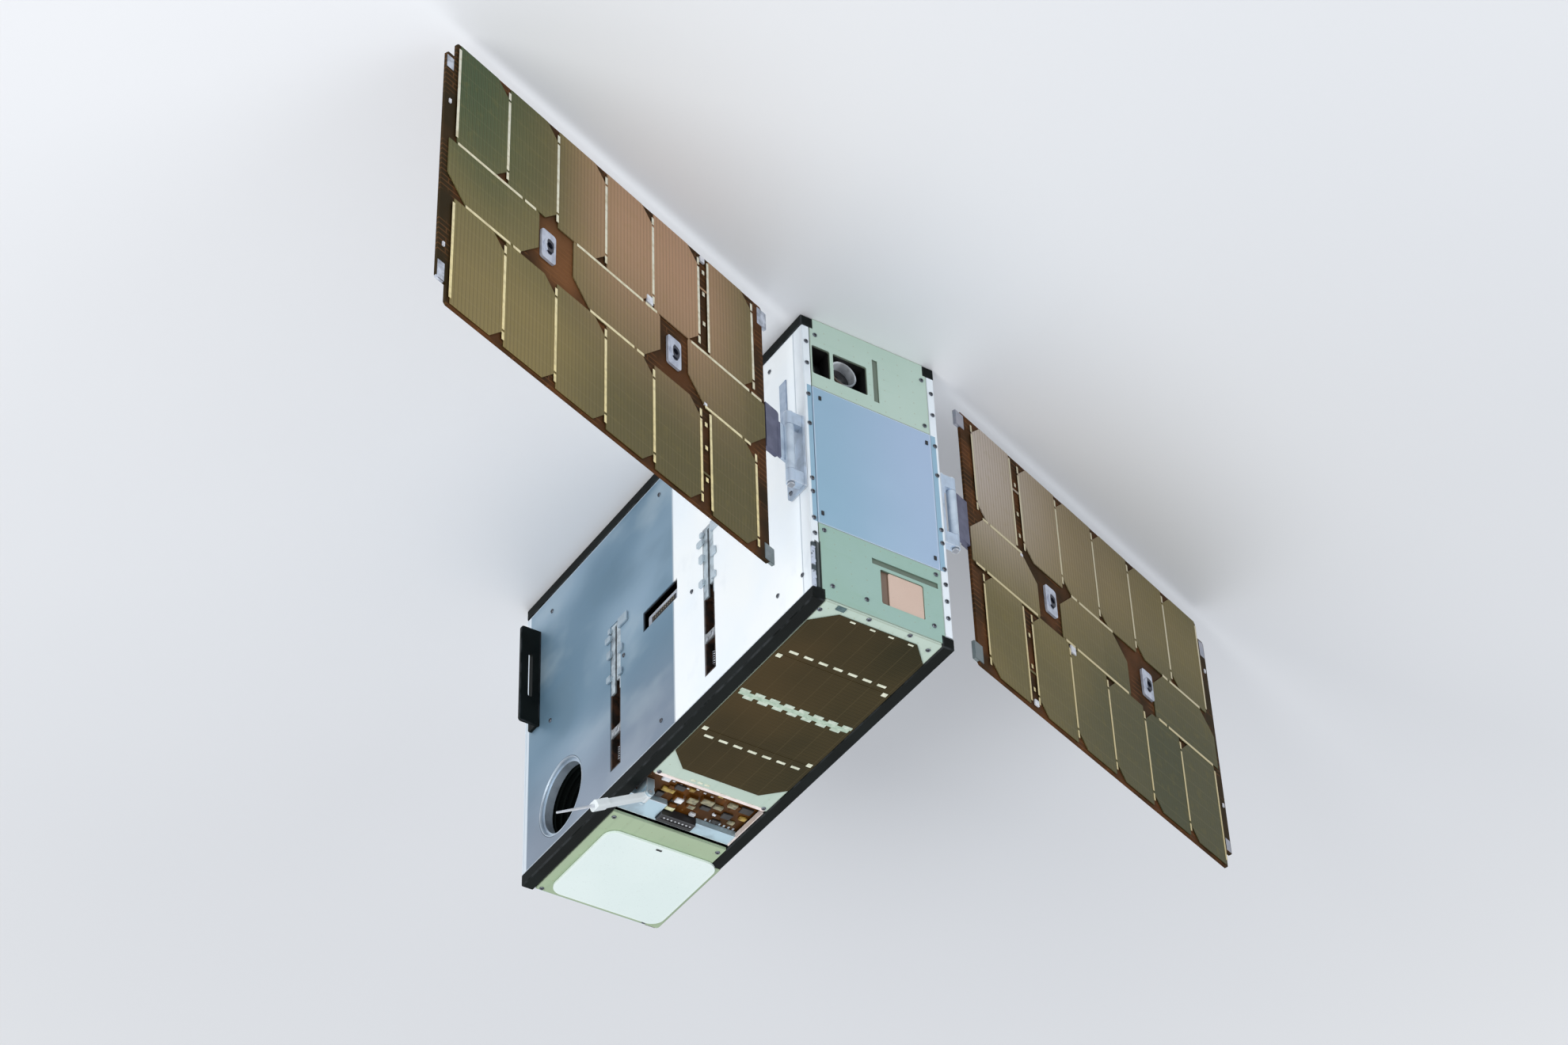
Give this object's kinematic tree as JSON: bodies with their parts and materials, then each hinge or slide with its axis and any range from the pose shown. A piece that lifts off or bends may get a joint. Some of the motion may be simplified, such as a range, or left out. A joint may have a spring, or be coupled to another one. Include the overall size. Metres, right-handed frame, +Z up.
{
  "type": "small satellite",
  "caption": "Box-shaped small satellite with black corner rails, two hinged solar wings, hold-down slots, a patch antenna and a folding whip antenna.",
  "frame": {"origin": "middle of the plain narrow face, on which the satellite stands", "axes": "+X along the rails toward the sensor end, +Y toward the left broad face with the round aperture, +Z up to the narrow face with the antennas"},
  "size_m": [0.4368, 0.6989, 0.2659],
  "materials": {
    "black_anodised": "black anodised",
    "white_paint": "matte white thermal paint",
    "satin_aluminium": "satin, bead blasted",
    "pale_green_board": "pale green solder mask",
    "blue_plate": "satin, faintly blue",
    "peach_tile": "matte ceramic tile",
    "grey_metal": "satin",
    "dark_glass": "coated optical glass",
    "brown_board": "rust brown laminate",
    "dark_cell": "solar cell under cover glass",
    "olive_cell": "solar cell under cover glass",
    "white_tile": "matte white radome",
    "black_plastic": "matte",
    "steel_pin": "ground stainless steel"
  },
  "bodies": {
    "bus": {"rail_base_left": "black_anodised", "rail_top_left": "black_anodised", "rail_base_right": "black_anodised", "rail_top_right": "black_anodised", "skin_left_bus": "white_paint", "skin_left_payload": "satin_aluminium", "skin_right_bus": "white_paint", "skin_right_payload": "satin_aluminium", "skin_base": "white_paint", "far_plate": "satin_aluminium", "near_post_left": "satin_aluminium", "near_post_right": "satin_aluminium", "corner_latch": "black_anodised", "near_plate_sensor": "pale_green_board", "near_plate_centre": "blue_plate", "near_plate_upper": "pale_green_board", "near_tile": "peach_tile", "sensor_housing": "black_plastic", "sun_sensor": "dark_glass", "star_tracker_hood": "grey_metal", "star_tracker_lens": "dark_glass", "top_board": "pale_green_board", "top_cells": "dark_cell", "bay_board": "brown_board", "bay_connector": "black_plastic", "bay_bracket": "satin_aluminium", "patch_board": "pale_green_board", "patch_tile": "white_tile", "aperture_ring": "satin_aluminium", "lens_barrel": "black_anodised", "front_lens": "dark_glass", "release_left_bus": "grey_metal", "release_left_payload": "grey_metal", "release_right_bus": "grey_metal", "release_right_payload": "grey_metal", "avionics_stack": "brown_board", "payload_stack": "brown_board", "port_connector": "grey_metal", "tip_guard_left": "black_anodised", "tip_guard_right": "black_anodised", "hinge_left_base": "grey_metal", "hinge_left_pin": "steel_pin", "hinge_right_base": "grey_metal", "hinge_right_pin": "steel_pin", "antenna_mount": "satin_aluminium", "antenna_pin": "steel_pin"},
    "wing_left": {"hinge_left_leaf": "grey_metal", "wing_left_board": "brown_board", "wing_left_cells": "olive_cell", "clamp_left_bus": "grey_metal", "clamp_left_payload": "grey_metal"},
    "wing_right": {"hinge_right_leaf": "grey_metal", "wing_right_board": "brown_board", "wing_right_cells": "olive_cell", "clamp_right_bus": "grey_metal", "clamp_right_payload": "grey_metal"},
    "antenna": {"antenna_arm": "white_tile", "antenna_block": "white_tile", "antenna_whip": "grey_metal"}
  },
  "joints": [
    {"name": "wing_left_hinge", "type": "hinge", "parent": "bus", "child": "wing_left", "pos_m": [0.1664, 0.0595, 0.11315], "axis": [0, 0, 1], "range_deg": [0, 109.4]},
    {"name": "wing_right_hinge", "type": "hinge", "parent": "bus", "child": "wing_right", "pos_m": [0.1664, -0.0595, 0.11315], "axis": [0, 0, -1], "range_deg": [-38.9, 70.4]},
    {"name": "antenna_hinge", "type": "hinge", "parent": "bus", "child": "antenna", "pos_m": [-0.042, 0.0345, 0.2298], "axis": [1, 0, 0], "range_deg": [0, 150]}
  ]
}
